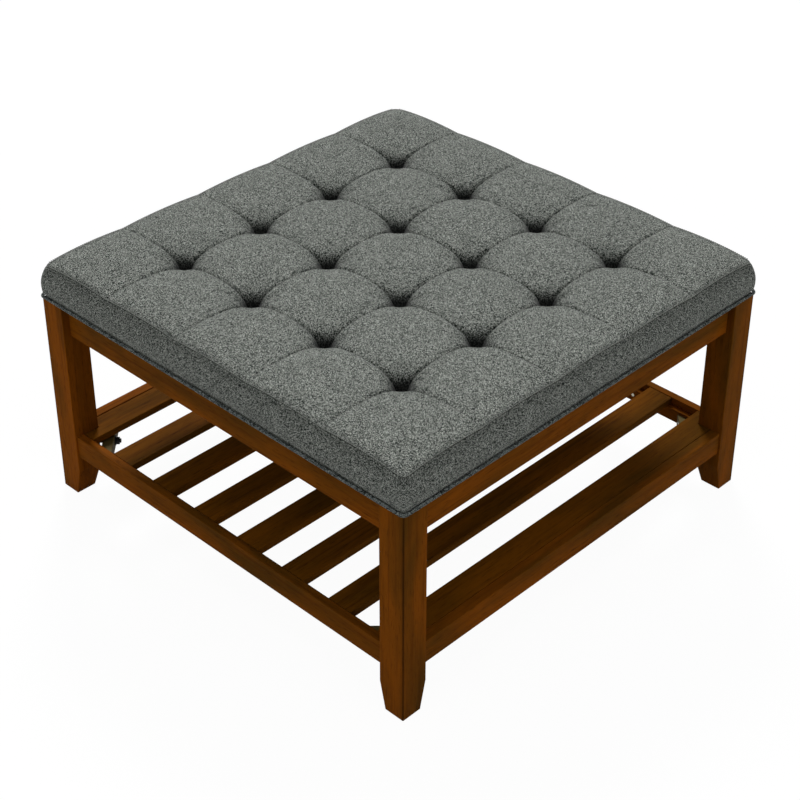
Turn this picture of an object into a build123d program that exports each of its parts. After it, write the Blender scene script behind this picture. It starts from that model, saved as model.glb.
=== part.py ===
from build123d import *
from math import sqrt
import os

# Square ottoman coffee table: a tufted, boxed cushion on four legs, with a slatted shelf below.
# The origin is on the floor under the middle of the table. +Z is up and the slats run along X.

# Frame, in millimetres
frame_width = 880.0
leg_width = 52.0
leg_height = 409.0
foot_width = 40.0
foot_taper_height = 54.0
apron_height = 65.0
apron_thickness = 20.0
apron_inset = 15.0

# Shelf
shelf_height = 130.0
rail_height = 44.0
rail_inset = 4.0
side_rail_thickness = 15.0
end_rail_thickness = 20.0
slat_count = 8
slat_width = 52.0
slat_thickness = 14.0
slat_drop = 0.6
slat_end_gap = 1.2
slat_side_gap = 1.0
slat_notch_gap = 1.0
cleat_height = 26.0
cleat_thickness = 12.0
cleat_end_gap = 0.5

# Corner blocks across the inside of each corner
block_thickness = 20.0
block_leg_gap = 8.0
lower_block_height = 24.0
upper_block_height = 34.0

# Cushion
board_thickness = 12.0
board_inset = 4.3
foam_thickness = 24.0
cushion_overhang = 2.0
cushion_corner_radius = 15.0
boxing_height = 68.0
boxing_swell = 2.0
boxing_draw = 1.5
boxing_lean = 8.0
boxing_wall = 7.0
lip_width = 44.0
lip_thickness = 1.5
piping_radius = 3.0
piping_stand_out = 3.0
dust_cover_thickness = 0.5
dust_cover_inset = 12.0
soft_gap = 0.3

# Tufted top
tuft_rows = 4
tuft_spacing = 175.0
rim_thickness = 2.0
tuft_depth = 30.0
seam_rise = 34.0
edge_seam_rise = 18.0
border_rise = 4.0
crown_rise = 7.0

# Fasteners
bolt_radius = 4.0
bolt_in_leg = 34.0
bolt_proud = 11.0
washer_radius = 9.0
washer_thickness = 1.6
nut_width = 13.0
nut_height = 6.5
screw_radius = 1.6
screw_head_radius = 3.3
staple_crown = 10.0
staple_leg = 8.0
staple_wire_width = 1.2
staple_wire_height = 0.7
staples_per_side = 12

# Joinery and edges
leg_easing = 1.5
rail_easing = 1.0
slat_easing = 1.2
overrun = 5.0

os.makedirs("parts", exist_ok=True)

# Levels and faces that more than one piece follows
half_frame = frame_width / 2
leg_inner = half_frame - leg_width
leg_centre = half_frame - leg_width / 2
side_rail_outer = half_frame - rail_inset
side_rail_inner = side_rail_outer - side_rail_thickness
end_rail_outer = half_frame - rail_inset
end_rail_inner = end_rail_outer - end_rail_thickness
apron_outer = half_frame - apron_inset
apron_inner = apron_outer - apron_thickness
shelf_bottom = shelf_height - rail_height
slat_top = shelf_height - slat_drop
slat_bottom = slat_top - slat_thickness
cleat_inner = side_rail_inner - cleat_thickness
lip_bottom = leg_height + dust_cover_thickness
board_bottom = lip_bottom + lip_thickness
board_top = board_bottom + board_thickness
foam_top = board_top + foam_thickness
boxing_top = lip_bottom + boxing_height
border_level = boxing_top + rim_thickness
half_board = half_frame - board_inset
half_cushion = half_frame + cushion_overhang
half_rim = half_cushion - boxing_lean

corners = {
    "front_left": (-1, -1),
    "front_right": (1, -1),
    "back_left": (-1, 1),
    "back_right": (1, 1),
}
sides = {"left": -1, "right": 1}
ends = {"front": -1, "back": 1}


# Screws are countersunk, with the head flush in the face that the plane lies on
def cut_or_add_screw(length, mode=Mode.ADD):
    align = (Align.CENTER, Align.CENTER, Align.MAX)
    Cylinder(screw_radius, length, align=align, mode=mode)
    head_depth = screw_head_radius - screw_radius
    Cone(screw_radius, screw_head_radius, head_depth, align=align, mode=mode)


def diagonal_point(side, end, distance, along=0.0):
    """Point inside a corner: distance in from the leg's inner edge, along the block from its middle."""
    reach = leg_inner - distance / sqrt(2)
    shift = along / sqrt(2)
    return side * (reach + shift), end * (reach - shift)


# Plane on the inner face of a corner block, facing the middle of the table
def block_face_plane(side, end, height, along=0.0):
    x, y = diagonal_point(side, end, block_leg_gap + block_thickness, along)
    return Plane(origin=(x, y, height), x_dir=(0, 0, 1), z_dir=(-side, -end, 0))


# Each screw through a block's end runs square to its inner face, into the rail or apron behind.
block_screw_end_distance = 14.0
block_screw_bite = 16.0
lower_block_middle = shelf_bottom + lower_block_height / 2
upper_block_bottom = leg_height - upper_block_height
upper_block_middle = leg_height - upper_block_height / 2
block_faces = {"lower": (cleat_inner, end_rail_inner), "upper": (apron_inner, apron_inner)}
block_middles = {"lower": lower_block_middle, "upper": upper_block_middle}


def block_face_end(level, which):
    """How far the block's inner face reaches from the diagonal: which is 1 at the side, -1 at the end."""
    side_face, end_face = block_faces[level]
    reach = leg_inner - (block_leg_gap + block_thickness) / sqrt(2)
    face = side_face if which > 0 else end_face
    return (face - reach) * sqrt(2)


def block_screw_plane(level, side, end, which):
    """Seat of the screw near one end of a corner block."""
    along = which * (block_face_end(level, which) - block_screw_end_distance)
    return block_face_plane(side, end, block_middles[level], along)


def cut_or_add_block_screws(level, side, end, mode=Mode.ADD):
    """Both screws of a block. A lower block bears on the cleat, so that screw goes on to the rail."""
    for which in (1, -1):
        through_cleat = level == "lower" and which == 1
        length = long_block_screw_length if through_cleat else block_screw_length
        with Locations(block_screw_plane(level, side, end, which)):
            cut_or_add_screw(length, mode)


block_screw_length = block_screw_end_distance + block_screw_bite
long_block_screw_length = block_screw_length + cleat_thickness * sqrt(2)

# Two screws through each upper block hold the cushion's board down
top_screw_spacing = 44.0
top_screw_bite = 9.0
top_screw_length = board_bottom - upper_block_bottom + top_screw_bite


def top_screw_planes(side, end):
    planes = []
    for along in (-top_screw_spacing / 2, top_screw_spacing / 2):
        middle_distance = block_leg_gap + block_thickness / 2
        x, y = diagonal_point(side, end, middle_distance, along)
        planes.append(Plane(origin=(x, y, upper_block_bottom), z_dir=(0, 0, -1)))
    return planes


# Slats are spaced evenly from one end rail to the other
first_slat = end_rail_inner - slat_side_gap - slat_width / 2
slat_pitch = 2 * first_slat / (slat_count - 1)
slat_places = [-first_slat + number * slat_pitch for number in range(slat_count)]
slat_screw_bite = 9.0
slat_screw_leg_gap = 12.0
cleat_bottom = slat_bottom - cleat_height
slat_screw_length = cleat_height + slat_screw_bite
cleat_screw_bite = 9.0
cleat_screw_length = cleat_thickness + cleat_screw_bite


def slat_screw_planes(side):
    """Screws from under a cleat into each slat, kept clear of the legs."""
    limit = leg_inner - slat_screw_leg_gap
    x = side * (side_rail_inner + cleat_inner) / 2
    places = [max(-limit, min(limit, y)) for y in slat_places]
    return [Plane(origin=(x, y, cleat_bottom), z_dir=(0, 0, -1)) for y in places]


def cleat_screw_planes(side):
    """Screws through a cleat into its side rail, midway between slats."""
    height = cleat_bottom + cleat_height / 2
    gaps = [(near + far) / 2 for near, far in zip(slat_places[1:-2], slat_places[2:-1])]
    return [Plane(origin=(side * cleat_inner, y, height), z_dir=(-side, 0, 0)) for y in gaps]


# Legs: square, with the foot tapered on its two inner faces
steep_share = 0.9
foot_centre = half_frame - foot_width / 2
for corner, (side, end) in corners.items():
    with BuildPart() as leg:
        with BuildSketch():
            with Locations((side * foot_centre, end * foot_centre)):
                Rectangle(foot_width, foot_width)
        with BuildSketch(Plane.XY.offset(foot_taper_height)):
            with Locations((side * leg_centre, end * leg_centre)):
                Rectangle(leg_width, leg_width)
        loft(ruled=True)
        with BuildSketch(Plane.XY.offset(foot_taper_height)):
            with Locations((side * leg_centre, end * leg_centre)):
                Rectangle(leg_width, leg_width)
        extrude(amount=leg_height - foot_taper_height)
        upright = [edge for edge in leg.edges() if abs(edge.tangent_at(0.5).Z) > steep_share]
        fillet(upright, leg_easing)
        for middle in block_middles.values():
            with BuildSketch(block_face_plane(side, end, middle)):
                Circle(bolt_radius)
            extrude(amount=-(block_thickness + block_leg_gap + bolt_in_leg), mode=Mode.SUBTRACT)
    leg.part.label = f"leg_{corner}"
    export_step(leg.part, f"parts/leg_{corner}.step")

# Aprons: boards between the legs, under the cushion
for name, end in ends.items():
    with BuildPart() as apron:
        with BuildSketch(Plane.XY.offset(leg_height - apron_height)):
            with Locations((0, end * (apron_outer + apron_inner) / 2)):
                Rectangle(2 * leg_inner, apron_thickness)
        extrude(amount=apron_height)
        fillet(apron.edges().filter_by(Axis.X).group_by(Axis.Z)[0], rail_easing)
        for side in sides.values():
            cut_or_add_block_screws("upper", side, end, Mode.SUBTRACT)
    apron.part.label = f"apron_{name}"
    export_step(apron.part, f"parts/apron_{name}.step")

for name, side in sides.items():
    with BuildPart() as apron:
        with BuildSketch(Plane.XY.offset(leg_height - apron_height)):
            with Locations((side * (apron_outer + apron_inner) / 2, 0)):
                Rectangle(apron_thickness, 2 * leg_inner)
        extrude(amount=apron_height)
        fillet(apron.edges().filter_by(Axis.Y).group_by(Axis.Z)[0], rail_easing)
        for end in ends.values():
            cut_or_add_block_screws("upper", side, end, Mode.SUBTRACT)
    apron.part.label = f"apron_{name}"
    export_step(apron.part, f"parts/apron_{name}.step")

# Lower rails: the front and back ones carry the outer slats' edges, the side ones carry the cleats
for name, end in ends.items():
    with BuildPart() as rail:
        with BuildSketch(Plane.XY.offset(shelf_bottom)):
            with Locations((0, end * (end_rail_outer + end_rail_inner) / 2)):
                Rectangle(2 * leg_inner, end_rail_thickness)
        extrude(amount=rail_height)
        fillet(rail.edges().filter_by(Axis.X), rail_easing)
        for side in sides.values():
            cut_or_add_block_screws("lower", side, end, Mode.SUBTRACT)
    rail.part.label = f"rail_{name}"
    export_step(rail.part, f"parts/rail_{name}.step")

for name, side in sides.items():
    with BuildPart() as rail:
        with BuildSketch(Plane.XY.offset(shelf_bottom)):
            with Locations((side * (side_rail_outer + side_rail_inner) / 2, 0)):
                Rectangle(side_rail_thickness, 2 * leg_inner)
        extrude(amount=rail_height)
        fillet(rail.edges().filter_by(Axis.Y), rail_easing)
        for end in ends.values():
            cut_or_add_block_screws("lower", side, end, Mode.SUBTRACT)
        with Locations(*cleat_screw_planes(side)):
            cut_or_add_screw(cleat_screw_length, Mode.SUBTRACT)
    rail.part.label = f"rail_{name}"
    export_step(rail.part, f"parts/rail_{name}.step")

# Cleats: strips on the side rails that the slats rest on
for name, side in sides.items():
    with BuildPart() as cleat:
        with BuildSketch(Plane.XY.offset(cleat_bottom)):
            with Locations((side * (side_rail_inner + cleat_inner) / 2, 0)):
                Rectangle(cleat_thickness, 2 * (leg_inner - cleat_end_gap))
        extrude(amount=cleat_height)
        with Locations(*slat_screw_planes(side)):
            cut_or_add_screw(slat_screw_length, Mode.SUBTRACT)
        with Locations(*cleat_screw_planes(side)):
            cut_or_add_screw(cleat_screw_length, Mode.SUBTRACT)
        for end in ends.values():
            cut_or_add_block_screws("lower", side, end, Mode.SUBTRACT)
    cleat.part.label = f"cleat_{name}"
    export_step(cleat.part, f"parts/cleat_{name}.step")

# Shelf slats: the first and the last are notched round the legs
slat_length = 2 * (side_rail_inner - slat_end_gap)
notch_length = slat_length / 2 - leg_inner + slat_notch_gap
for number, place in enumerate(slat_places, start=1):
    outward = -1 if place < 0 else 1
    notch_width = abs(place) + slat_width / 2 - leg_inner + slat_notch_gap
    notched = number in (1, slat_count)
    with BuildPart() as slat:
        with BuildSketch(Plane.XY.offset(slat_bottom)):
            with Locations((0, place)):
                Rectangle(slat_length, slat_width)
            if notched:
                for side in sides.values():
                    corner_x = side * (slat_length - notch_length) / 2
                    corner_y = place + outward * (slat_width - notch_width) / 2
                    with Locations((corner_x, corner_y)):
                        Rectangle(notch_length, notch_width, mode=Mode.SUBTRACT)
        extrude(amount=slat_thickness)
        long_edges = slat.edges().filter_by(Axis.X)
        fillet([edge for edge in long_edges if edge.length > slat_length / 2], slat_easing)
        for side in sides.values():
            with Locations(slat_screw_planes(side)[number - 1]):
                cut_or_add_screw(slat_screw_length, Mode.SUBTRACT)
    slat.part.label = f"slat_{number}"
    export_step(slat.part, f"parts/slat_{number}.step")

# Corner blocks: plywood bars mitred between two neighbouring members, each drilled for its leg bolt
block_bottoms = {"lower": shelf_bottom, "upper": upper_block_bottom}
block_heights = {"lower": lower_block_height, "upper": upper_block_height}
bolt_clearance = 0.5
inner_line = 2 * leg_inner - sqrt(2) * (block_leg_gap + block_thickness)
outer_line = 2 * leg_inner - sqrt(2) * block_leg_gap
for level, (side_face, end_face) in block_faces.items():
    for corner, (side, end) in corners.items():
        outline = [
            (side * side_face, end * (inner_line - side_face)),
            (side * side_face, end * (outer_line - side_face)),
            (side * (outer_line - end_face), end * end_face),
            (side * (inner_line - end_face), end * end_face),
        ]
        with BuildPart() as block:
            with BuildSketch(Plane.XY.offset(block_bottoms[level])):
                with BuildLine():
                    Polyline(*outline, close=True)
                make_face()
            extrude(amount=block_heights[level])
            with BuildSketch(block_face_plane(side, end, block_middles[level])):
                Circle(bolt_radius + bolt_clearance)
            extrude(amount=-(block_thickness + overrun), mode=Mode.SUBTRACT)
            cut_or_add_block_screws(level, side, end, Mode.SUBTRACT)
            if level == "upper":
                with Locations(*top_screw_planes(side, end)):
                    cut_or_add_screw(top_screw_length, Mode.SUBTRACT)
        block.part.label = f"{level}_block_{corner}"
        export_step(block.part, f"parts/{level}_block_{corner}.step")

# Leg bolts, with a washer and a nut on the block's inner face
bolt_length = bolt_proud + block_thickness + block_leg_gap + bolt_in_leg
for level, middle in block_middles.items():
    faces = [block_face_plane(side, end, middle) for side, end in corners.values()]
    with BuildPart() as bolts:
        with Locations(*[face.offset(bolt_proud) for face in faces]):
            Cylinder(bolt_radius, bolt_length, align=(Align.CENTER, Align.CENTER, Align.MAX))
    bolts.part.label = f"{level}_leg_bolts"
    export_step(bolts.part, f"parts/{level}_leg_bolts.step")

    with BuildPart() as washers:
        for face in faces:
            with BuildSketch(face):
                Circle(washer_radius)
                Circle(bolt_radius, mode=Mode.SUBTRACT)
            extrude(amount=washer_thickness)
    washers.part.label = f"{level}_washers"
    export_step(washers.part, f"parts/{level}_washers.step")

    with BuildPart() as nuts:
        for face in faces:
            with BuildSketch(face.offset(washer_thickness)):
                RegularPolygon(nut_width / 2, side_count=6, major_radius=False)
                Circle(bolt_radius, mode=Mode.SUBTRACT)
            extrude(amount=nut_height)
    nuts.part.label = f"{level}_nuts"
    export_step(nuts.part, f"parts/{level}_nuts.step")

# Wood screws, one group for each use
for level in block_faces:
    with BuildPart() as screws:
        for side, end in corners.values():
            cut_or_add_block_screws(level, side, end)
    screws.part.label = f"{level}_block_screws"
    export_step(screws.part, f"parts/{level}_block_screws.step")

top_screw_places = []
for side, end in corners.values():
    top_screw_places.extend(top_screw_planes(side, end))
screw_groups = {
    "slat_screws": (slat_screw_length, slat_screw_planes(-1) + slat_screw_planes(1)),
    "cleat_screws": (cleat_screw_length, cleat_screw_planes(-1) + cleat_screw_planes(1)),
    "top_screws": (top_screw_length, top_screw_places),
}
for name, (length, places) in screw_groups.items():
    with BuildPart() as screws:
        with Locations(*places):
            cut_or_add_screw(length)
    screws.part.label = name
    export_step(screws.part, f"parts/{name}.step")

# Cushion board, drilled for the ties of the tufts and bitten by the top screws and the staples
tie_radius = 1.0
tie_gap = 0.3
tie_hole_radius = 3.0
anchor_radius = 11.0
staple_inset = 18.0
staple_spacing = 2 * (half_board - lip_width) / staples_per_side
staple_row = [(number - (staples_per_side - 1) / 2) * staple_spacing for number in range(staples_per_side)]
staple_line = half_board - staple_inset


# Staples run along the cover's lip on all four sides: each place has its run direction
def staple_places():
    places = []
    for place in staple_row:
        for edge in (-staple_line, staple_line):
            places.append(Location((place, edge, lip_bottom), (0, 0, 0)))
            places.append(Location((edge, place, lip_bottom), (0, 0, 90)))
    return places


def cut_or_add_staples(mode=Mode.ADD):
    lower = (Align.CENTER, Align.CENTER, Align.MIN)
    leg_place = (staple_crown - staple_wire_height) / 2
    with Locations(*staple_places()):
        Box(staple_crown, staple_wire_width, staple_wire_height, align=lower, mode=mode)
        with Locations((-leg_place, 0, 0), (leg_place, 0, 0)):
            Box(staple_wire_height, staple_wire_width, staple_leg, align=lower, mode=mode)


with BuildPart() as staples:
    cut_or_add_staples()
staples.part.label = "cover_staples"
export_step(staples.part, "parts/cover_staples.step")

board_corner_radius = cushion_corner_radius - board_inset
with BuildPart() as board:
    with BuildSketch(Plane.XY.offset(board_bottom)):
        RectangleRounded(2 * half_board, 2 * half_board, board_corner_radius)
        with GridLocations(tuft_spacing, tuft_spacing, tuft_rows, tuft_rows):
            Circle(tie_hole_radius, mode=Mode.SUBTRACT)
    extrude(amount=board_thickness)
    with Locations(*top_screw_places):
        cut_or_add_screw(top_screw_length, Mode.SUBTRACT)
    cut_or_add_staples(Mode.SUBTRACT)
board.part.label = "seat_board"
export_step(board.part, "parts/seat_board.step")

# Foam, pierced by the ties
with BuildPart() as foam:
    with BuildSketch(Plane.XY.offset(board_top)):
        RectangleRounded(2 * half_board, 2 * half_board, board_corner_radius)
        with GridLocations(tuft_spacing, tuft_spacing, tuft_rows, tuft_rows):
            Circle(tie_radius + tie_gap, mode=Mode.SUBTRACT)
    extrude(amount=foam_thickness)
foam.part.label = "foam_pad"
export_step(foam.part, "parts/foam_pad.step")

# Tufted top: squares of padded cover, crowned between seams and drawn down where the seams cross.
# Each row of squares is lofted through sections of arcs, from one seam line to the next.
square_count = tuft_rows + 1
pit_level = border_level - tuft_depth
tuft_line = tuft_spacing * (tuft_rows - 1) / 2
border_line = half_rim + soft_gap
half_plug = half_rim - boxing_wall
plug_corner_radius = cushion_corner_radius - boxing_wall
tuft_places = [number * tuft_spacing - tuft_line for number in range(tuft_rows)]
seam_lines = [-border_line] + tuft_places + [border_line]
station_shares = (0, 0.2, 0.5, 0.8, 1)
swell_shares = (0, 0.68, 1, 0.68, 0)


def crossing_level(column, row):
    """Height where two seam lines cross: a tuft inside, the border seam outside."""
    on_border = column in (0, square_count) or row in (0, square_count)
    return border_level if on_border else pit_level


def seam_rise_on(line, square):
    """How far a seam rises between its two ends: this line's stretch beside this square."""
    if line in (0, square_count):
        return border_rise
    return edge_seam_rise if square in (0, square_count - 1) else seam_rise


def seam_level(column, row, share, swell):
    """Height on the seam line at this column, part way along a row."""
    start = crossing_level(column, row)
    finish = crossing_level(column, row + 1)
    return start + (finish - start) * share + seam_rise_on(column, row) * swell


def crown_level(column, row, share, swell):
    """Height on the middle line of a square, part way along a row."""
    seams = []
    for line in (row, row + 1):
        middle = (crossing_level(column, line) + crossing_level(column + 1, line)) / 2
        seams.append(middle + seam_rise_on(line, column))
    start, finish = seams
    return start + (finish - start) * share + crown_rise * swell


def square_arc_points(column, row, share, swell):
    """Start, middle and end of the arc over one square at one station."""
    left = seam_lines[column]
    right = seam_lines[column + 1]
    return (
        (left, seam_level(column, row, share, swell)),
        ((left + right) / 2, crown_level(column, row, share, swell)),
        (right, seam_level(column + 1, row, share, swell)),
    )


def boxed_outline(height, reach, draw):
    """Rounded square whose four sides pull in by draw at their middles."""
    turns = [(-reach, -reach), (reach, -reach), (reach, reach), (-reach, reach)]
    middles = [(0, draw - reach), (reach - draw, 0), (0, reach - draw), (draw - reach, 0)]
    with BuildSketch(Plane.XY.offset(height)) as outline:
        with BuildLine():
            for index, start in enumerate(turns):
                ThreePointArc(start, middles[index], turns[(index + 1) % len(turns)])
        make_face()
        fillet(outline.vertices(), cushion_corner_radius)
    return outline.sketch


with BuildPart() as top_panel:
    for row in range(square_count):
        for share, swell in zip(station_shares, swell_shares):
            station = seam_lines[row] + (seam_lines[row + 1] - seam_lines[row]) * share
            with BuildSketch(Plane.XZ.offset(-station)):
                with BuildLine():
                    for column in range(square_count):
                        ThreePointArc(*square_arc_points(column, row, share, swell))
                    Polyline(
                        (border_line, seam_level(square_count, row, share, swell)),
                        (border_line, foam_top),
                        (-border_line, foam_top),
                        (-border_line, seam_level(0, row, share, swell)),
                    )
                make_face()
        loft()
    drawn_in = boxed_outline(foam_top, half_rim, boxing_draw)
    extrude(drawn_in, amount=frame_width, mode=Mode.INTERSECT)
    with BuildSketch(Plane.XY.offset(foam_top)):
        Rectangle(2 * (half_cushion + overrun), 2 * (half_cushion + overrun))
        RectangleRounded(2 * half_plug, 2 * half_plug, plug_corner_radius, mode=Mode.SUBTRACT)
    extrude(amount=boxing_top - foam_top, mode=Mode.SUBTRACT)
    with BuildSketch(Plane.XY.offset(foam_top)):
        with GridLocations(tuft_spacing, tuft_spacing, tuft_rows, tuft_rows):
            Circle(tie_radius + tie_gap)
    extrude(amount=frame_width, mode=Mode.SUBTRACT)
top_panel.part.label = "top_panel"
export_step(top_panel.part, "parts/top_panel.step")

# Boxing: the padded band round the sides. It leans in from the piping to the border seam and swells
# between them, its foot is set back behind the piping, and its lip turns under the board.
piping_centre = half_cushion + piping_stand_out - piping_radius
piping_middle = lip_bottom + soft_gap + piping_radius
foot_outer = piping_centre - piping_radius - soft_gap
boxing_bottom = piping_middle + piping_radius + soft_gap
boxing_inner = half_board + soft_gap
foot_corner_radius = board_corner_radius + foot_outer - half_board
middle_reach = (half_cushion + half_rim) / 2 + boxing_swell + boxing_lean / 4
boxing_levels = (boxing_bottom, (boxing_bottom + boxing_top) / 2, boxing_top)
boxing_reaches = (half_cushion, middle_reach, half_rim)
draw_shares = (0.3, 0.7, 1)
with BuildPart() as boxing:
    levels = zip(boxing_levels, boxing_reaches, draw_shares)
    loft([boxed_outline(height, reach, boxing_draw * share) for height, reach, share in levels])
    with BuildSketch(Plane.XY.offset(lip_bottom)):
        RectangleRounded(2 * foot_outer, 2 * foot_outer, foot_corner_radius)
    extrude(amount=boxing_bottom - lip_bottom)
    with BuildSketch(Plane.XY.offset(board_bottom)):
        RectangleRounded(2 * boxing_inner, 2 * boxing_inner, board_corner_radius + soft_gap)
    extrude(amount=foam_top - board_bottom, mode=Mode.SUBTRACT)
    with BuildSketch(Plane.XY.offset(foam_top)):
        wall_inner = half_plug + soft_gap
        RectangleRounded(2 * wall_inner, 2 * wall_inner, plug_corner_radius + soft_gap)
    extrude(amount=frame_width, mode=Mode.SUBTRACT)
    with BuildSketch(Plane.XY.offset(lip_bottom)):
        Rectangle(2 * (half_board - lip_width), 2 * (half_board - lip_width))
    extrude(amount=frame_width, mode=Mode.SUBTRACT)
    cut_or_add_staples(Mode.SUBTRACT)
    with Locations(*top_screw_places):
        cut_or_add_screw(top_screw_length, Mode.SUBTRACT)
boxing.part.label = "boxing_band"
export_step(boxing.part, "parts/boxing_band.step")

# Piping: a covered cord round the foot of the boxing
piping_corner_radius = cushion_corner_radius - piping_radius
with BuildSketch(Plane.XY.offset(piping_middle)) as piping_plan:
    RectangleRounded(2 * piping_centre, 2 * piping_centre, piping_corner_radius)
piping_path = piping_plan.sketch.wire()
with BuildPart() as piping:
    with BuildSketch(Plane(origin=piping_path @ 0, z_dir=piping_path % 0)):
        Circle(piping_radius)
    sweep(path=piping_path)
piping.part.label = "piping"
export_step(piping.part, "parts/piping.step")

# Ties of the tufts, from each tuft down to a flat anchor under the board
with BuildPart() as ties:
    with BuildSketch(Plane.XY.offset(board_bottom)):
        with GridLocations(tuft_spacing, tuft_spacing, tuft_rows, tuft_rows):
            Circle(tie_radius)
    extrude(amount=pit_level - board_bottom)
ties.part.label = "tuft_ties"
export_step(ties.part, "parts/tuft_ties.step")

with BuildPart() as anchors:
    with BuildSketch(Plane.XY.offset(lip_bottom)):
        with GridLocations(tuft_spacing, tuft_spacing, tuft_rows, tuft_rows):
            Circle(anchor_radius)
    extrude(amount=lip_thickness)
anchors.part.label = "tuft_anchors"
export_step(anchors.part, "parts/tuft_anchors.step")

# Dust cover: thin cloth under the board, held between the cushion and the frame
half_dust_cover = half_frame - dust_cover_inset
with BuildPart() as dust_cover:
    with BuildSketch(Plane.XY.offset(leg_height)):
        Rectangle(2 * half_dust_cover, 2 * half_dust_cover)
    extrude(amount=dust_cover_thickness)
    with Locations(*top_screw_places):
        cut_or_add_screw(top_screw_length, Mode.SUBTRACT)
dust_cover.part.label = "dust_cover"
export_step(dust_cover.part, "parts/dust_cover.step")
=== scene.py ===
from math import copysign, exp, hypot, pi, sin, sqrt

import bmesh
import bpy
from mathutils import Matrix, Vector


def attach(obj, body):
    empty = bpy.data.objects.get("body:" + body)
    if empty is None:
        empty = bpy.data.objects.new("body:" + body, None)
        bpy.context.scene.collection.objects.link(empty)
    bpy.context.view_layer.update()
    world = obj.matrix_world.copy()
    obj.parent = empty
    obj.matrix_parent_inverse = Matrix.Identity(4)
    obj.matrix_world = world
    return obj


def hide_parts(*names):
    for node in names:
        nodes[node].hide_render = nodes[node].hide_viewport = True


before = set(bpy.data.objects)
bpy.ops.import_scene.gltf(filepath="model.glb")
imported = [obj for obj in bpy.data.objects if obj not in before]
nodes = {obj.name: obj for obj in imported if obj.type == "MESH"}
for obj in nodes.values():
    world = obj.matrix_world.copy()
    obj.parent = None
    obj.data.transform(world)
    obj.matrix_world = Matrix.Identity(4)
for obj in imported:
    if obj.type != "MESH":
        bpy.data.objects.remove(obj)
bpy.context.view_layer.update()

# Camera
# It stands in front of the near corner, a little above the table, where the photograph was taken.
# The lens and the turn come from a pinhole camera fitted to the corners of the frame.
camera_data = bpy.data.cameras.new("camera")
camera_data.sensor_width = 36
camera_data.lens = 82.76
camera_data.shift_y = -0.1
camera = bpy.data.objects.new("camera", camera_data)
camera_turn = Vector((2.00329301, -0.84221581, 0.46456532))
world_to_camera = Matrix.Rotation(camera_turn.length, 3, camera_turn.normalized())
right, down, ahead = world_to_camera
camera_axes = Matrix((right, -down, -ahead)).transposed()
camera.matrix_world = Matrix.Translation((-1.9587, -1.9143, 2.0968)) @ camera_axes.to_4x4()
bpy.context.scene.collection.objects.link(camera)
bpy.context.scene.camera = camera
bpy.context.scene.view_settings.view_transform = "Standard"


# Floor, backdrop and lamps
# A plain pale studio: a wide floor, a white surround, a high soft lamp behind, and weak ones overhead,
# to the left and in front.
# The floor shows white to the camera, keeps the table's shadow and throws a little light back up.
def linear(code):
    """Linear colour, with alpha, of an sRGB hex code."""
    tones = [int(code[place:place + 2], 16) / 255 for place in (0, 2, 4)]
    return [tone / 12.92 if tone <= 0.04045 else ((tone + 0.055) / 1.055) ** 2.4 for tone in tones] + [1]


def add(material, kind, inputs=None, stops=(), **settings):
    """Adds a node with its settings. Each input gets a value, or a link from another node's output."""
    node = material.node_tree.nodes.new("ShaderNode" + kind)
    for name, value in settings.items():
        setattr(node, name, value)
    for number, (place, colour) in enumerate(stops):
        ramp = node.color_ramp.elements
        stop = ramp[number] if number < 2 else ramp.new(place)
        stop.position = place
        stop.color = colour
    for name, value in (inputs or {}).items():
        if isinstance(value, bpy.types.NodeSocket):
            material.node_tree.links.new(value, node.inputs[name])
        else:
            node.inputs[name].default_value = value
    return node


def new_material(name):
    """An empty node material."""
    material = bpy.data.materials.new(name)
    material.use_nodes = True
    material.node_tree.nodes.clear()
    return material


def new_piece(name, bm, material):
    """An object made from a bmesh, with smooth faces and one material."""
    mesh = bpy.data.meshes.new(name)
    bm.to_mesh(mesh)
    bm.free()
    mesh.materials.append(material)
    for face in mesh.polygons:
        face.use_smooth = True
    piece = bpy.data.objects.new(name, mesh)
    bpy.context.scene.collection.objects.link(piece)
    return piece


def seen_directly(material):
    """Node that gives 1 for rays that come from the camera, a mirror image or a clear pane."""
    ray = add(material, "LightPath")
    eye = add(material, "Math", {0: ray.outputs["Is Camera Ray"], 1: ray.outputs["Is Glossy Ray"]},
              operation="MAXIMUM")
    return add(material, "Math", {0: eye.outputs[0], 1: ray.outputs["Is Transmission Ray"]},
               operation="MAXIMUM")


floor_radius = 14.0
floor_grey = "CCCCCC"
floor_shade = (0.06, 0.06, 0.06, 1)
floor_glow = 0.96
pure_white = (1, 1, 1, 1)
aim = Vector((0, 0, 0.4))
lamps = (
    ("key lamp", (6.8, 7.8, 9.8), 4.0, 1150.0),
    ("top lamp", (-0.5, -0.5, 1.9), 0.8, 4.5),
    ("left lamp", (-3.6, 0.1, 1.5), 1.4, 14.0),
    ("front lamp", (0.1, -3.6, 1.5), 1.4, 14.0),
)
sky_strength = 0.30
horizon_strength = 0.08

studio_floor = new_material("pale studio floor")
seen = seen_directly(studio_floor)
plain = add(studio_floor, "BsdfDiffuse", {"Color": linear(floor_grey)})
shade = add(studio_floor, "BsdfDiffuse", {"Color": floor_shade})
glow = add(studio_floor, "Emission", {"Strength": floor_glow})
white = add(studio_floor, "AddShader", {0: shade.outputs[0], 1: glow.outputs[0]})
mixed = add(studio_floor, "MixShader", {0: seen.outputs[0], 1: plain.outputs[0], 2: white.outputs[0]})
add(studio_floor, "OutputMaterial", {"Surface": mixed.outputs[0]})

bm = bmesh.new()
bmesh.ops.create_circle(bm, cap_ends=True, segments=64, radius=floor_radius)
floor = new_piece("studio_floor", bm, studio_floor)

world = bpy.data.worlds.new("studio surround")
world.use_nodes = True
world.node_tree.nodes.clear()
bpy.context.scene.world = world
seen = seen_directly(world)
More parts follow.
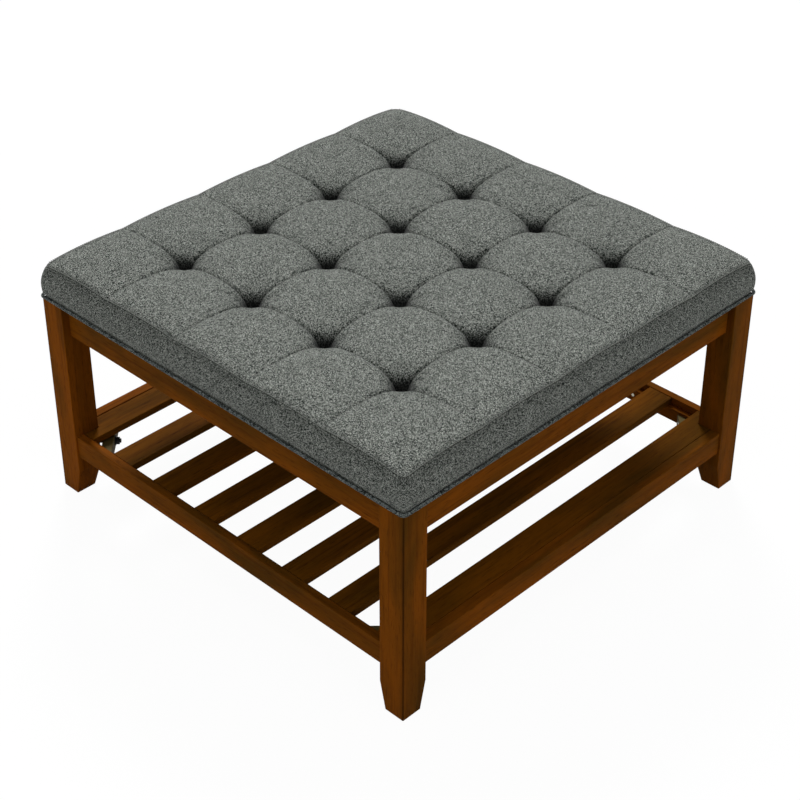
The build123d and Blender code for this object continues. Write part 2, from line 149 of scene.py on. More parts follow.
# The light grows stronger from the horizon up, and the camera sees plain white.
split = add(world, "SeparateXYZ", {0: add(world, "TexCoord").outputs["Generated"]})
height = add(world, "MapRange", {"Value": split.outputs[2], "To Min": horizon_strength,
                                 "To Max": sky_strength})
light = add(world, "Background", {"Strength": height.outputs[0], "Color": pure_white})
backdrop = add(world, "Background", {"Strength": 1.0, "Color": pure_white})
mixed = add(world, "MixShader", {0: seen.outputs[0], 1: light.outputs[0], 2: backdrop.outputs[0]})
add(world, "OutputWorld", {"Surface": mixed.outputs[0]})

for name, place, size, power in lamps:
    lamp_data = bpy.data.lights.new(name, "AREA")
    lamp_data.energy = power
    lamp_data.size = size
    lamp = bpy.data.objects.new(name, lamp_data)
    lamp.location = place
    lamp.rotation_euler = (aim - lamp.location).to_track_quat("-Z", "Y").to_euler()
    bpy.context.scene.collection.objects.link(lamp)


# Legs, aprons, rails and cleats
# Solid rubberwood, stained walnut brown and sprayed with a satin lacquer. The legs are square, with
# tapered feet, and are drawn to the rails and aprons by a hanger bolt in each corner block.
def stained_wood(name, along, tones):
    """Stained hardwood, its grain along one axis. Tones: light cloud, dark cloud, streaks, pores."""
    material = new_material(name)
    place = add(material, "TexCoord").outputs["Object"]
    # The numbers are marks per metre, across the grain and along it. The stain takes unevenly, in soft
    # clouds about 70 mm by 300 mm. Growth streaks are 4 to 8 mm across and run on for 250 mm. The open
    # pores are under 0.3 mm wide, and are drawn 1 mm wide and 20 mm long, so that they show.
    marks = []
    for across, lengthways, settings in (
        (14.0, 3.2, {"Detail": 4.0, "Roughness": 0.55, "Distortion": 0.3}),
        (150.0, 4.0, {"Detail": 3.0, "Roughness": 0.6, "Distortion": 0.4}),
        (900.0, 45.0, {"Detail": 1.0}),
    ):
        stretch = [across, across, across]
        stretch[along] = lengthways
        spread = add(material, "Mapping", {"Vector": place, "Scale": stretch})
        marks.append(add(material, "TexNoise", {"Vector": spread.outputs[0], "Scale": 1.0, **settings}))
    cloud, streak, pore = marks
    blotch = add(material, "MapRange", {"Value": cloud.outputs[0], "From Min": 0.36, "From Max": 0.64})
    body = add(material, "Mix", {0: blotch.outputs[0], 6: linear(tones[0]), 7: linear(tones[1])},
               data_type="RGBA")
    line = add(material, "MapRange", {"Value": streak.outputs[0], "From Min": 0.48, "From Max": 0.72,
                                      "To Max": 0.5})
    grain = add(material, "Mix", {0: line.outputs[0], 6: body.outputs[2], 7: linear(tones[2])},
                data_type="RGBA")
    fleck = add(material, "MapRange", {"Value": pore.outputs[0], "From Min": 0.6, "From Max": 0.75,
                                       "To Max": 0.7})
    colour = add(material, "Mix", {0: fleck.outputs[0], 6: grain.outputs[2], 7: linear(tones[3])},
                 data_type="RGBA")
    if along == 2:
        # The legs' outer arrises are drawn darker, in a line 3 mm wide.
        edge = add(material, "VectorMath", {0: place}, operation="ABSOLUTE")
        edge = add(material, "SeparateXYZ", {0: edge.outputs[0]})
        edge = add(material, "Math", {0: edge.outputs[0], 1: edge.outputs[1]}, operation="MINIMUM")
        edge = add(material, "MapRange", {"Value": edge.outputs[0], "From Min": arris_start,
                                          "From Max": arris_full, "To Max": 0.75})
        colour = add(material, "Mix", {0: edge.outputs[0], 6: colour.outputs[2], 7: linear(tones[3])},
                     data_type="RGBA")
    rough = add(material, "MapRange", {"Value": cloud.outputs[0], "To Min": 0.36, "To Max": 0.5})
    height = add(material, "Math", {0: streak.outputs[0], 1: pore.outputs[0]}, operation="SUBTRACT")
    bump = add(material, "Bump", {"Height": height.outputs[0], "Strength": 0.25, "Distance": 0.0004})
    # The satin lacquer gives deep, warm colour and hardly a highlight, so its reflection is nearly off.
    lacquer = add(material, "BsdfPrincipled", {
        "Base Color": colour.outputs[2], "Roughness": rough.outputs[0], "Normal": bump.outputs[0],
        "Specular IOR Level": 0.005})
    add(material, "OutputMaterial", {"Surface": lacquer.outputs[0]})
    return material


def dress(names, material):
    """Gives CAD nodes a material."""
    for name in names:
        for place in nodes[name].material_slots:
            place.material = material


arris_start = 0.4366
arris_full = 0.4392
frame_tones = ("985310", "643F10", "542A08", "301804")
along_x = stained_wood("stained rubberwood, grain along x", 0, frame_tones)
along_y = stained_wood("stained rubberwood, grain along y", 1, frame_tones)
upright = stained_wood("stained rubberwood, upright grain", 2, frame_tones)
dress(["apron_front", "apron_back", "rail_front", "rail_back"], along_x)
dress(["apron_left", "apron_right", "rail_left", "rail_right", "cleat_left", "cleat_right"], along_y)
dress(["leg_front_left", "leg_front_right", "leg_back_left", "leg_back_right"], upright)

# Shelf slats
# Eight planed boards of the same stained wood, screwed from below to the cleats. Their flat tops
# show more of the grain than the frame does.
slat_tones = ("88500F", "603D0E", "402009", "2A1404")
slat_wood = stained_wood("stained rubberwood slats", 0, slat_tones)
dress([f"slat_{number}" for number in range(1, 9)], slat_wood)


# Corner blocks
# Birch plywood bars set across the corners, mitred, and screwed to the rails and aprons. They are left
# raw but for overspray of the stain. The plies show as light and dark lines along their edges.
def plywood(name, light_ply, dark_ply):
    """Bare plywood whose plies lie flat, one above another."""
    material = new_material(name)
    place = add(material, "TexCoord").outputs["Object"]
    split = add(material, "SeparateXYZ", {0: place})
    # The overspray lies in clouds about 30 mm across.
    spray = add(material, "TexNoise", {"Vector": place, "Scale": 30.0, "Detail": 2.0})
    # A light ply shows its grain's side and a dark one its end, in turn. Each is drawn 2.8 mm thick,
    # about twice what it is, so that the lines show.
    ply = add(material, "Math", {0: split.outputs[2], 1: pi / ply_thickness}, operation="MULTIPLY")
    ply = add(material, "Math", {0: ply.outputs[0]}, operation="SINE")
    ply = add(material, "MapRange", {"Value": ply.outputs[0], "From Min": -0.3, "From Max": 0.3})
    body = add(material, "Mix", {0: ply.outputs[0], 6: linear(light_ply), 7: linear(dark_ply)},
               data_type="RGBA")
    stain = add(material, "MapRange", {"Value": spray.outputs[0], "From Min": 0.4, "From Max": 0.7,
                                       "To Max": 0.6})
    colour = add(material, "Mix", {0: stain.outputs[0], 6: body.outputs[2], 7: linear(overspray)},
                 data_type="RGBA")
    bump = add(material, "Bump", {"Height": ply.outputs[0], "Strength": 0.3, "Distance": 0.0003})
    # Raw birch is pale and dry, with no shine.
    bare = add(material, "BsdfPrincipled", {
        "Base Color": colour.outputs[2], "Roughness": 0.8, "Normal": bump.outputs[0],
        "Specular IOR Level": 0.2})
    add(material, "OutputMaterial", {"Surface": bare.outputs[0]})
    return material


ply_thickness = 0.0028
overspray = "38260E"
block_plywood = plywood("bare birch plywood blocks", "76673A", "463A1C")
blocks = [name for name in nodes if "block_" in name and "screws" not in name]
dress(blocks, block_plywood)

# Cushion board
# A square of birch plywood under the foam, held down by screws through the upper corner blocks. Only
# its underside, between the cover's turned edges, would show, if the dust cover were off.
board_plywood = plywood("bare birch plywood board", "B49468", "8C6C44")
dress(["seat_board"], board_plywood)


# Bolts, washers and nuts
# Hanger bolts that draw each leg to its corner blocks, with a washer and a nut. They are mild steel
# with a black oxide finish, which is nearly black, mottled and softly shiny.
def fastener_metal(name, dark, light, roughness):
    """Metal with a mottled finish, from a dark tone to a light one."""
    material = new_material(name)
    place = add(material, "TexCoord").outputs["Object"]
    # The mottling is about 2.5 mm across, coarser than a plated skin's, so that it shows.
    mottle = add(material, "TexNoise", {"Vector": place, "Scale": 400.0, "Detail": 2.0})
    colour = add(material, "Mix", {0: mottle.outputs[0], 6: linear(dark), 7: linear(light)},
                 data_type="RGBA")
    rough = add(material, "MapRange", {"Value": mottle.outputs[0], "To Min": roughness - rough_spread,
                                       "To Max": roughness + rough_spread})
    metal = add(material, "BsdfPrincipled", {
        "Base Color": colour.outputs[2], "Metallic": 1.0, "Roughness": rough.outputs[0]})
    add(material, "OutputMaterial", {"Surface": metal.outputs[0]})
    return material


rough_spread = 0.1
black_oxide = fastener_metal("black oxide steel", "101010", "2A2A2B", 0.45)
dress([name for name in nodes if name.endswith(("bolts", "washers", "nuts"))], black_oxide)

# Screws and staples
# Zinc-plated wood screws, driven into the blocks, cleats and board, and galvanised wire staples that
# hold the cover's turned edge under the board. Both are pale and bright, with a faint warm cast.
zinc_plate = fastener_metal("zinc plated steel", "8C8878", "B8B4A4", 0.35)
dress([name for name in nodes if name.endswith("_screws")], zinc_plate)
galvanised = fastener_metal("galvanised steel wire", "8E9092", "B4B6B8", 0.4)
dress(["cover_staples"], galvanised)

# Tuft ties and anchors
# Waxed polyester twine, drawn down through the foam and the board and held by a flat nylon disc. The
# twine is cream with a slight sheen, and its twist is drawn at a turn a millimetre.
twine = new_material("waxed polyester twine")
place = add(twine, "TexCoord").outputs["Object"]
turns = add(twine, "Mapping", {"Vector": place, "Scale": (900, 900, 1400)})
strand = add(twine, "TexWave", {"Vector": turns.outputs[0], "Scale": 1.0, "Distortion": 1.0})
colour = add(twine, "Mix", {0: strand.outputs[1], 6: linear("B8B4A4"), 7: linear("E0DCCC")},
             data_type="RGBA")
waxed = add(twine, "BsdfPrincipled", {"Base Color": colour.outputs[2], "Roughness": 0.6})
add(twine, "OutputMaterial", {"Surface": waxed.outputs[0]})
dress(["tuft_ties"], twine)

# Moulded nylon is milky white and smooth, clouded every 4 mm.
nylon = new_material("moulded nylon")
place = add(nylon, "TexCoord").outputs["Object"]
haze = add(nylon, "TexNoise", {"Vector": place, "Scale": 250.0})
colour = add(nylon, "Mix", {0: haze.outputs[0], 6: linear("D4D2C8"), 7: linear("E8E6DE")},
             data_type="RGBA")
moulded = add(nylon, "BsdfPrincipled", {"Base Color": colour.outputs[2], "Roughness": 0.45})
add(nylon, "OutputMaterial", {"Surface": moulded.outputs[0]})
dress(["tuft_anchors"], nylon)


# Cushion
# Grey heathered plain-weave polyester over foam and fibre. The top is five rows of squares seamed
# together, and tufted without buttons. A boxing strip runs round the sides, seamed to the top along
# the border, and its lower edge turns under the board and is stapled there.
def woven_cloth(name, dark, body, light, pitch):
    """Heathered plain weave on the UV map "cloth", which is in metres."""
    material = new_material(name)
    cloth = add(material, "UVMap", uv_map="cloth")
    # The yarn is about 0.5 mm thick. The threads are drawn coarser, at the given pitch, so that the
    # dark and light flecks show.
    count = add(material, "VectorMath", {0: cloth.outputs[0], 3: 1 / pitch}, operation="SCALE")
    crossing = add(material, "VectorMath", {0: count.outputs[0]}, operation="FLOOR")
    fleck = add(material, "TexWhiteNoise", {"Vector": crossing.outputs[0]})
    # Slubs: a thread keeps its shade for three crossings of its length, the warp up, the weft across.
    # The weft is moved off by part of a crossing, so that the two don't share their random shades.
    warp_run = add(material, "VectorMath", {0: count.outputs[0], 1: (1, 0.33, 1)}, operation="MULTIPLY")
    weft_run = add(material, "VectorMath", {0: count.outputs[0], 1: (0.33, 1, 1)}, operation="MULTIPLY")
    warp_run = add(material, "VectorMath", {0: warp_run.outputs[0]}, operation="FLOOR")
    weft_run = add(material, "VectorMath", {0: weft_run.outputs[0], 1: (0.5, 0.5, 3.5)}, operation="ADD")
    weft_run = add(material, "VectorMath", {0: weft_run.outputs[0]}, operation="FLOOR")
    warp = add(material, "TexWhiteNoise", {"Vector": warp_run.outputs[0]})
    weft = add(material, "TexWhiteNoise", {"Vector": weft_run.outputs[0]})
    split = add(material, "SeparateXYZ", {0: crossing.outputs[0]})
    over = add(material, "Math", {0: split.outputs[0], 1: split.outputs[1]}, operation="ADD")
    over = add(material, "Math", {0: over.outputs[0], 1: 2.0}, operation="FLOORED_MODULO")
    slub = add(material, "Mix", {0: over.outputs[0], 2: warp.outputs[0], 3: weft.outputs[0]})
    thread = add(material, "Mix", {0: slub_share, 2: fleck.outputs[0], 3: slub.outputs[0]})
    shade = add(material, "ValToRGB", {0: thread.outputs[0]}, stops=(
        (0.18, linear(dark)), (0.82, linear(light)), (0.5, linear(body))))
    # Wear and the lie of the fibre leave soft patches about 35 mm across.
    patch = add(material, "TexNoise", {"Vector": cloth.outputs[0], "Scale": 28.0, "Detail": 3.0})
    tone = add(material, "MapRange", {"Value": patch.outputs[0], "From Min": 0.3, "From Max": 0.7,
                                      "To Min": 0.94, "To Max": 1.06})
    toned = add(material, "VectorMath", {0: shade.outputs[0], 3: tone.outputs[0]}, operation="SCALE")
    # Painted shade darkens the cloth in the sewn folds, and smoothly down into the tufts' hollows.
    crevice = add(material, "Attribute", attribute_name="seam")
    fold = add(material, "MapRange", {"Value": crevice.outputs["Fac"], "From Min": 0.35, "From Max": 0.95,
                                      "To Max": 0.85})
    sunk = add(material, "Attribute", attribute_name="depth")
    hollow_shade = add(material, "MapRange", {"Value": sunk.outputs["Fac"], "From Min": 0.04, "From Max": 0.75,
                                        "To Max": 0.95}, interpolation_type="SMOOTHSTEP")
    dark = add(material, "Math", {0: fold.outputs[0], 1: hollow_shade.outputs[0]}, operation="MAXIMUM")
    colour = add(material, "Mix", {0: dark.outputs[0], 6: toned.outputs[0], 7: linear(painted_shade_black)},
                 data_type="RGBA")
    # Each thread stands up in a round crest between its crossings.
    swell = add(material, "VectorMath", {0: count.outputs[0], 1: (pi, pi, 0)}, operation="MULTIPLY")
    waves = add(material, "SeparateXYZ", {0: swell.outputs[0]})
    crest = add(material, "Math", {0: waves.outputs[0]}, operation="SINE")
    trough = add(material, "Math", {0: waves.outputs[1]}, operation="SINE")
    weave = add(material, "Math", {0: crest.outputs[0], 1: trough.outputs[0]}, operation="MULTIPLY")
    weave = add(material, "Math", {0: weave.outputs[0], 1: thread.outputs[0]}, operation="ADD")
    bump = add(material, "Bump", {"Height": weave.outputs[0], "Strength": 0.3, "Distance": 0.0003})
    # Polyester cloth is matt, with a little light caught in its fibre ends.
    cloth = add(material, "BsdfPrincipled", {
        "Base Color": colour.outputs[2], "Roughness": 0.92, "Normal": bump.outputs[0],
        "Specular IOR Level": 0.1, "Sheen Weight": 0.08, "Sheen Roughness": 0.5})
    add(material, "OutputMaterial", {"Surface": cloth.outputs[0]})
    return material


slub_share = 0.18
# The painted shade in the folds and hollows darkens the cloth towards this colour.
painted_shade_black = "0C0E0D"
upholstery = woven_cloth("heathered plain weave polyester", "0A0F0C", "424944", "C6CAC2", 0.0009)

# The outline: half the square at the border seam and at the foot, its corners, and how far the middle
# of each side is drawn in.
half_rim = 0.434
half_foot = 0.442
corner_radius = 0.012
side_draw = 0.0015
corner_drop = 0.0045
corner_run = 0.06
tuft_spacing = 0.175
tuft_lines = [(number - 1.5) * tuft_spacing for number in range(4)]
square_ends = [-half_rim] + tuft_lines + [half_rim]
# Each square is domed below the crown, and the outer ones fall to the border within the shoulder.
crown_level = 0.4893
crown_dome = 0.0024
shoulder = 0.050
shoulder_fall = 2.2
border_level = 0.4775
border_rise = 0.0035
boxing_bottom = 0.4161
boxing_swell = 0.0042
seam_pull = 0.35
seam_pull_run = 0.02
# The grid's cells, and how much closer together its lines are beside a seam.
cell = 0.0058
crowding = 0.62


def grid_lines():
    """Places of the grid's lines, with one on each seam and closer together beside the seams."""
    edge_cells = round((half_rim - tuft_lines[-1]) / cell)
    square_cells = 2 * round(tuft_spacing / cell / 2)
    counts = [edge_cells] + [square_cells] * 3 + [edge_cells]
    places = []
    for start, finish, count in zip(square_ends, square_ends[1:], counts):
        shares = [step / count - crowding * sin(2 * pi * step / count) / (2 * pi) for step in range(count)]
        places += [start + (finish - start) * share for share in shares]
    return places + [half_rim]


def rounded(x, y, reach, radius=corner_radius, draw=0.0):
    """Moves a point of the rim's square on to a square of another reach, with round corners."""
    x, y = x * reach / half_rim, y * reach / half_rim
    core = reach - radius
    across, along = (abs(x) - core) / radius, (abs(y) - core) / radius
    if across > 0 and along > 0:
        across, along = across * sqrt(1 - along ** 2 / 2), along * sqrt(1 - across ** 2 / 2)
        return copysign(core + across * radius, x), copysign(core + along * radius, y)
    pulled_x = x * (1 - draw / reach * (1 - (y / reach) ** 2))
    pulled_y = y * (1 - draw / reach * (1 - (x / reach) ** 2))
    return pulled_x, pulled_y


def in_square(place):
    """Where a place lies in its square, from -1 to 1, and how far it is from the nearest tuft line."""
    for start, finish in zip(square_ends, square_ends[1:]):
        if place <= finish:
            break
    share = (2 * place - start - finish) / (finish - start)
    return share, min(abs(place - line) for line in tuft_lines)


# A seam is a shallow valley that deepens into a fold towards each tuft. A tuft is a steep hollow in
# a wider dish, and its bottom is level where the tie holds it, just above the tie's end.
seam_valley = 0.0014
valley_width = 0.007
arm_depth = 0.032
arm_run = 0.029
arm_spread = 0.72
hollow_depth = 0.033
hollow_radius = 0.0108
dish_depth = 0.015
dish_run = 0.024
pit_level = 0.4510
border_fade = 0.03


def seam_drop(across, along):
    """How far a seam draws the top down, at a distance across it and along it from the tuft."""
    depth = seam_valley + arm_depth * exp(-along / arm_run)
    width = valley_width + arm_spread * depth
    return depth * max(0, 1 - across / width) ** 2.0


def corner_sink(x, y):
    """How far the border and the top sink towards the nearest corner."""
    return corner_drop * exp(-hypot(half_rim - abs(x), half_rim - abs(y)) / corner_run)


def top_height(x, y):
    """Height of the tufted top before it is filled out."""
    p, off_x = in_square(x)
    q, off_y = in_square(y)
    to_x, to_y = half_rim - abs(x), half_rim - abs(y)
    corner = corner_sink(x, y)
    crown = crown_level - crown_dome * (p * p + q * q) - corner
    edge_x = crown + corner - border_level - border_rise * (1 - q * q)
    edge_y = crown + corner - border_level - border_rise * (1 - p * p)
    fall_x = edge_x * (1 - min(1, to_x / shoulder)) ** shoulder_fall
    fall_y = edge_y * (1 - min(1, to_y / shoulder)) ** shoulder_fall
    fall = fall_x + fall_y - fall_x * fall_y / (crown + corner - border_level)
    off = hypot(off_x, off_y)
    hollow = hollow_depth / (1 + (off / hollow_radius) ** 2.5) + dish_depth * exp(-off / dish_run)
    pulls = (seam_drop(off_x, off_y), seam_drop(off_y, off_x), hollow)
    drop = sum(pull ** 3 for pull in pulls) ** (1 / 3)
    drop = min(drop, crown - pit_level)
    return crown - fall - drop * min(1, min(to_x, to_y) / border_fade) ** 0.7


def border_height(x, y):
    """Height of the border seam, which rises over each square and sinks at the corners."""
    p, q = in_square(x)[0], in_square(y)[0]
    swell = 1 - (q * q if abs(x) > abs(y) else p * p)
    return border_level + border_rise * swell - corner_sink(x, y)


def boxing_reach(share, along):
    """How far out the boxing stands, from the border seam (share 0) to its foot (share 1)."""
    lean = (half_foot - half_rim) * share ** 0.8
    # Where a seam of the top meets the border, the boxing is held in a little.
    _, off_line = in_square(along)
    pull = 1 - seam_pull * exp(-((off_line / seam_pull_run) ** 2)) * (1 - share)
    return half_rim + lean + boxing_swell * sin(pi * share) * pull


# Four layers go with each point: its place on the flat top and the cloth's run down from the border, how
# much painted shade it takes in a sewn fold, which also marks the seams, how much painted shade it takes
# deep in a hollow or under the border's roll, and whether it is held, which is 1 for the turned edge and 2
# for the border.
bm = bmesh.new()
lines = grid_lines()
last = len(lines) - 1
touching = 1e-5
# Shares of painted shade along the seams, more of it near each tuft, and on the top's rolled edge.
seam_shade = 0.74
tuft_shade = 0.26
tuft_shade_run = 0.04
roll_shade = 0.40
roll_width = 0.016
bmesh.ops.create_grid(bm, x_segments=last, y_segments=last, size=1.0)
plan = bm.verts.layers.float_vector.new("plan")
seam = bm.verts.layers.float.new("seam")
depth = bm.verts.layers.float.new("depth")
held = bm.verts.layers.int.new("held")
for vert in bm.verts:
    x = lines[round((vert.co.x + 1) * last / 2)]
    y = lines[round((vert.co.y + 1) * last / 2)]
    vert[plan] = (x, y, 0)
    on_x, on_y = (in_square(place)[1] < touching for place in (x, y))
    # Seam points take a painted shade, darker towards each tuft.
    if on_x or on_y:
        off_tuft = max(in_square(x)[1], in_square(y)[1])
        vert[seam] = seam_shade + tuft_shade * exp(-off_tuft / tuft_shade_run)
    level = top_height(x, y)
    # Painted shade grows with the depth below the crown; within the shoulder it gives way to a painted
    # shade of the rolled edge, over its last 16 mm.
    vert[depth] = (crown_level - level) / (crown_level - pit_level)
    to_border = half_rim - max(abs(x), abs(y))
    if to_border < shoulder:
        vert[depth] = roll_shade * max(0, 1 - to_border / roll_width)
    vert.co = (*rounded(x, y, half_rim, corner_radius, side_draw), level)

border = [edge for edge in bm.edges if edge.is_boundary]


def extend(edges, move):
    """Extrudes a ring of edges once and moves each new vertex."""
    grown = bmesh.ops.extrude_edge_only(bm, edges=edges)["geom"]
    for vert in (item for item in grown if isinstance(item, bmesh.types.BMVert)):
        place = Vector(move(vert))
        x, y, run = vert[plan]
        vert[plan] = (x, y, run + (place - vert.co).length)
        vert[seam] = vert[depth] = 0.0
        vert.co = place
    return [item for item in grown if isinstance(item, bmesh.types.BMEdge)]


def put_in_order(bm):
    """Numbers points, edges and faces by place, because extruding numbers them differently each run."""
    def corners(part):
        return sorted(vert.index for vert in part.verts)

    def place(vert):
        return [round(value, 6) for value in vert.co]

    for parts, key in ((bm.verts, place), (bm.edges, corners), (bm.faces, corners)):
        for number, part in enumerate(sorted(parts, key=key)):
            part.index = number
        parts.sort()


def boxing_point(share, inset):
    """Mover for one ring of the boxing."""
    def move(vert):
        x, y, _ = vert[plan]
        along = y if abs(x) > abs(y) else x
        rise = border_height(x, y)
        reach = boxing_reach(share, along) - inset
        place = rounded(x, y, reach, draw=side_draw * (1 - 0.7 * share))
        return *place, rise + (boxing_bottom - rise) * share
    return move


# The cloth turns in sharply at the border seam, then swells down to the foot, and turns in again
# above the piping.
crevice_share = 0.035
crevice_inset = 0.0030
# Painted shade for the crevice under the border, and for the upper boxing under the roll.
crevice_shade = 0.8
boxing_shares = (0.075, 0.15, 0.24, 0.33, 0.42, 0.51, 0.6, 0.69, 0.78, 0.87, 0.95)
boxing_shade = 0.36
shaded_share = 0.5
foot_inset = 0.0022

ring = extend(border, boxing_point(crevice_share, crevice_inset))
border_verts = [vert for edge in border + ring for vert in edge.verts]
# The crevice ring takes a painted shade of its fold, and counts as a seam.
for vert in {vert for edge in ring for vert in edge.verts}:
    vert[seam] = crevice_shade
for share in boxing_shares:
    ring = extend(ring, boxing_point(share, 0.0))
    # Painted shade, standing for the rolled edge above, darkens the upper half of the boxing.
    for vert in {vert for edge in ring for vert in edge.verts}:
        vert[depth] = boxing_shade * max(0, 1 - share / shaded_share)
ring = extend(ring, boxing_point(1.0, foot_inset))
# The foot seam takes the full painted shade of its fold, and counts as a seam.
for vert in {vert for edge in ring for vert in edge.verts}:
    vert[seam] = 1.0

# Behind the piping the boxing runs on under the board and back up round its edge. Each pair is a
# reach and a level.
turned_edge = (
    (0.4392, 0.4158), (0.4387, 0.4140), (0.4387, 0.4112), (0.4384, 0.4097), (0.4372, 0.4095),
    (0.4150, 0.4095), (0.3932, 0.4095), (0.3918, 0.4097), (0.3918, 0.4108), (0.3932, 0.4110),
    (0.4340, 0.4110), (0.4358, 0.4113), (0.4360, 0.4130), (0.4360, 0.4210), (0.4356, 0.4228),
    (0.4340, 0.4230), (0.3000, 0.4230), (0.1500, 0.4230),
)
pinned_rings = []
for reach, level in turned_edge:
    radius = min(corner_radius, reach / 8)
    ring = extend(ring, lambda vert: (*rounded(*vert[plan][:2], reach, radius), level))
    pinned_rings += [vert for edge in ring for vert in edge.verts]
# One face closes the skin over the board, and cuts across it keep its pieces small.
cut_pitch = 0.0151
ceiling = bmesh.ops.contextual_create(bm, geom=ring)["faces"][0]
inside = [ceiling, *ceiling.edges, *ceiling.verts]
for crossways in ((1, 0, 0), (0, 1, 0)):
    for number in range(-9, 10):
        inside = bmesh.ops.bisect_plane(bm, geom=inside, plane_co=Vector(crossways) * number * cut_pitch,
                                        plane_no=crossways)["geom"]
bmesh.ops.recalc_face_normals(bm, faces=bm.faces)

# The boxing's cloth is laid out a metre away from the top's, so that their threads differ.
cloth_map = bm.loops.layers.uv.new("cloth")
for face in bm.faces:
    on_top = all(vert[plan].z == 0 for vert in face.verts)
    side_on = all(abs(abs(vert[plan].x) - half_rim) < touching for vert in face.verts)
    for loop in face.loops:
        x, y, run = loop.vert[plan]
        loop[cloth_map].uv = (x, y) if on_top else (y if side_on else x, run - 1)

# The seams stay sharp when the mesh is smoothed.
sewn = 0.5
sharpness = 0.9
crease = bm.edges.layers.float.new("crease_edge")
for edge in bm.edges:
    if all(vert[seam] > sewn for vert in edge.verts):
        edge[crease] = sharpness
for vert in pinned_rings:
    vert[held] = 1
for vert in border_verts:
    vert[held] = 2
put_in_order(bm)
seam_places = [vert.index for vert in bm.verts if vert[seam] > sewn and vert[held] < 2]
held_places = [vert.index for vert in bm.verts if vert[held] or vert[seam] > sewn]
cushion = new_piece("cushion", bm, upholstery)

# Gentle pressure fills the cloth out between the seams. No point moves more than 2.5 mm, and beside
# the border no more than a fifth of that.
most_move = 0.0025
pressure = 4
frames = 20
before = [vert.co.copy() for vert in cushion.data.vertices]
pins = cushion.vertex_groups.new(name="pins")
pins.add(held_places, 1.0, "REPLACE")
filling = cushion.modifiers.new("filling", "CLOTH")
filling.settings.quality = 5
filling.settings.mass = 0.3
filling.settings.tension_stiffness = 30
filling.settings.compression_stiffness = 30
filling.settings.shear_stiffness = 15
filling.settings.bending_stiffness = 1.5
filling.settings.vertex_group_mass = "pins"
filling.settings.use_pressure = True
filling.settings.uniform_pressure_force = pressure
filling.settings.effector_weights.gravity = 0
filling.collision_settings.use_collision = False
filling.point_cache.frame_start = 1
filling.point_cache.frame_end = frames
for number in range(1, frames + 1):
    bpy.context.scene.frame_set(number)
filled = cushion.evaluated_get(bpy.context.evaluated_depsgraph_get())
after = [vert.co.copy() for vert in filled.data.vertices]
cushion.modifiers.clear()
cushion.vertex_groups.clear()
plans = cushion.data.attributes["plan"].data
for vert, start, finish in zip(cushion.data.vertices, before, after):
    x, y, run = plans[vert.index].vector
    off_border = run if run > 0 else half_rim - max(abs(x), abs(y))
    limit = most_move * min(1, 0.2 + off_border / border_fade)
    move = finish - start
    if move.length > limit:
        move *= limit / move.length
    vert.co = start + move
bpy.context.scene.frame_set(1)

# The seams are sewn in after the filling, as a narrow groove.
groove = 0.0010
for index in seam_places:
    vert = cushion.data.vertices[index]
    vert.co -= Vector(vert.normal) * groove
smooth = cushion.modifiers.new("smooth", "SUBSURF")
smooth.levels = smooth.render_levels = 1
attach(cushion, "root")
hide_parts("top_panel", "boxing_band", "foam_pad")

# Border stitching
# A row of spun-polyester stitches, 3.6 mm long, that closes the border seam along the edge of the top.
# The thread is dull and lighter than the cloth, and its light tone also paints the highlight that the
# border's rolled edge catches. It is drawn 1.6 mm thick, with its twist 1 mm long, coarser than it is, so
# that it shows.
sewing_thread = new_material("spun polyester thread")
place = add(sewing_thread, "TexCoord").outputs["Object"]
twist = add(sewing_thread, "TexNoise", {"Vector": place, "Scale": 900.0, "Detail": 1.0})
colour = add(sewing_thread, "Mix", {0: twist.outputs[0], 6: linear("7E827C"), 7: linear("A6AAA2")},
             data_type="RGBA")
spun = add(sewing_thread, "BsdfPrincipled", {
    "Base Color": colour.outputs[2], "Roughness": 0.8, "Specular IOR Level": 0.2})
add(sewing_thread, "OutputMaterial", {"Surface": spun.outputs[0]})

stitch_length = 0.0036
stitch_pitch = 0.0042
stitch_radius = 0.0008
stitch_inset = 0.0005
stitches_per_side = int(2 * (half_rim - corner_radius) / stitch_pitch)
bm = bmesh.new()
for side in range(4):
    turn = Matrix.Rotation(side * pi / 2, 4, "Z")
    for number in range(stitches_per_side + 1):
        along = (number / stitches_per_side - 0.5) * 2 * (half_rim - corner_radius)
        out, _ = rounded(half_rim, along, half_rim, draw=side_draw)
        rise = border_height(half_rim, along)
        grown = bmesh.ops.create_icosphere(bm, subdivisions=1, radius=1)["verts"]
        stretch = Matrix.Diagonal((stitch_radius, stitch_length / 2, stitch_radius, 1))
        place = turn @ Matrix.Translation((out - stitch_inset, along, rise))
        bmesh.ops.transform(bm, matrix=place @ stretch, verts=grown)
stitching = new_piece("border_stitching", bm, sewing_thread)
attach(stitching, "root")

# Piping
# A cotton cord in a bias strip of the same cloth, sewn into the foot seam all the way round. The
# cloth is drawn tight over it, so it looks darker and plainer than the cushion.
piping_cloth = woven_cloth("heathered plain weave piping", "0C100F", "333938", "A4ACA8", 0.0011)
piping_radius = 0.003
piping_reach = 0.442
piping_level = 0.4128
piping_corner = 0.009
piping_pieces = 60
piping_facets = 12
corner_pieces = 6

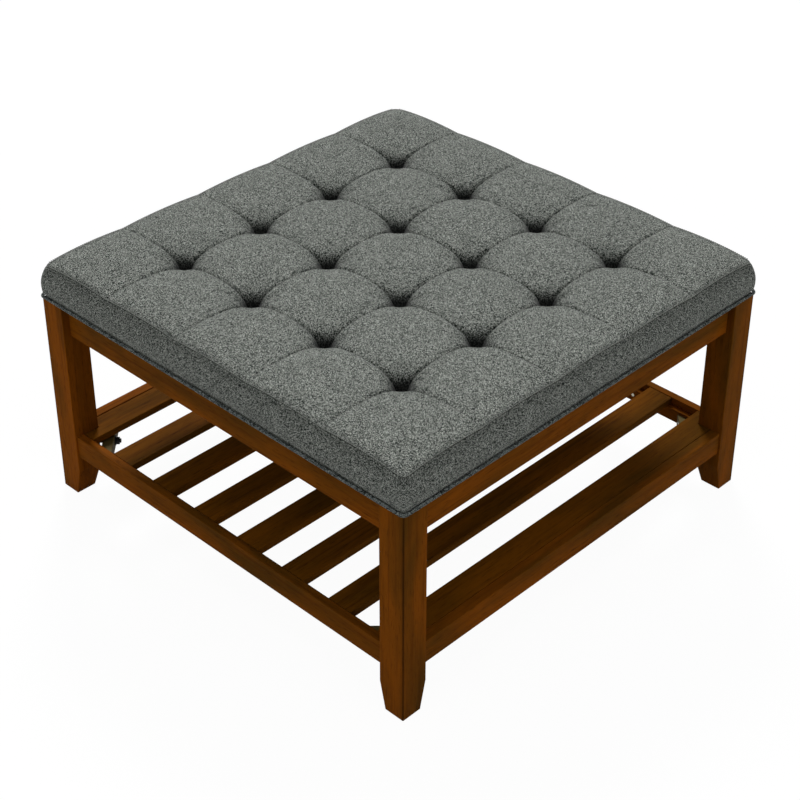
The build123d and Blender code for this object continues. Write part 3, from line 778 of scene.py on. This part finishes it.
bm = bmesh.new()
core = piping_reach - piping_corner
bmesh.ops.create_circle(bm, segments=piping_facets, radius=piping_radius)
bmesh.ops.rotate(bm, verts=bm.verts, matrix=Matrix.Rotation(pi / 2, 3, "X"))
bmesh.ops.translate(bm, verts=bm.verts, vec=(piping_reach, -core, piping_level))
ring = list(bm.edges)
for side in range(4):
    turn = Matrix.Rotation(side * pi / 2, 3, "Z")
    step = turn @ Vector((0, 2 * core / piping_pieces, 0))
    for count in range(piping_pieces):
        grown = bmesh.ops.extrude_edge_only(bm, edges=ring)["geom"]
        ring = [item for item in grown if isinstance(item, bmesh.types.BMEdge)]
        verts = [item for item in grown if isinstance(item, bmesh.types.BMVert)]
        bmesh.ops.translate(bm, verts=verts, vec=step)
    grown = bmesh.ops.spin(bm, geom=ring, cent=turn @ Vector((core, core, piping_level)),
                           axis=(0, 0, 1), angle=pi / 2, steps=corner_pieces, use_merge=False)["geom_last"]
    ring = [item for item in grown if isinstance(item, bmesh.types.BMEdge)]
bmesh.ops.remove_doubles(bm, verts=bm.verts, dist=0.0002)
bmesh.ops.recalc_face_normals(bm, faces=bm.faces)
cloth_map = bm.loops.layers.uv.new("cloth")
for face in bm.faces:
    along_side = 1 if abs(face.calc_center_median().x) > abs(face.calc_center_median().y) else 0
    for loop in face.loops:
        run = loop.vert.co[along_side]
        # The bias strip's threads run at 45 degrees to the cord.
        loop[cloth_map].uv = (run + loop.vert.co.z, run - loop.vert.co.z)
put_in_order(bm)
piping = new_piece("piping_cord", bm, piping_cloth)
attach(piping, "root")
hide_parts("piping")

# Dust cover
# Black non-woven polypropylene, stretched over the open underside and held between the cushion and
# the frame, where it sags a little. It is matt, and its bonded dots and fibres are drawn about 2 mm
# and 1.5 mm across.
non_woven = new_material("non-woven polypropylene")
place = add(non_woven, "TexCoord").outputs["Object"]
dots = add(non_woven, "TexVoronoi", {"Vector": place, "Scale": 450.0})
fibre = add(non_woven, "TexNoise", {"Vector": place, "Scale": 700.0, "Detail": 3.0})
colour = add(non_woven, "Mix", {0: fibre.outputs[0], 6: linear("161616"), 7: linear("2C2C2C")},
             data_type="RGBA")
bump = add(non_woven, "Bump", {"Height": dots.outputs[0], "Strength": 0.4, "Distance": 0.0003})
felted = add(non_woven, "BsdfPrincipled", {
    "Base Color": colour.outputs[2], "Roughness": 0.85, "Normal": bump.outputs[0]})
add(non_woven, "OutputMaterial", {"Surface": felted.outputs[0]})

half_cover = 0.428
half_opening = 0.400
cover_level = 0.40925
cover_sag = 0.004
cover_thickness = 0.0004
cover_cells = 60
bm = bmesh.new()
bmesh.ops.create_grid(bm, x_segments=cover_cells, y_segments=cover_cells, size=half_cover)
for vert in bm.verts:
    x, y = (min(1, abs(place) / half_opening) for place in vert.co.xy)
    vert.co.z = cover_level - cover_sag * (1 - x * x) * (1 - y * y)
dust_cover = new_piece("dust_cloth", bm, non_woven)
thick = dust_cover.modifiers.new("thick", "SOLIDIFY")
thick.thickness = cover_thickness
thick.offset = 0
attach(dust_cover, "root")
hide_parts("dust_cover")
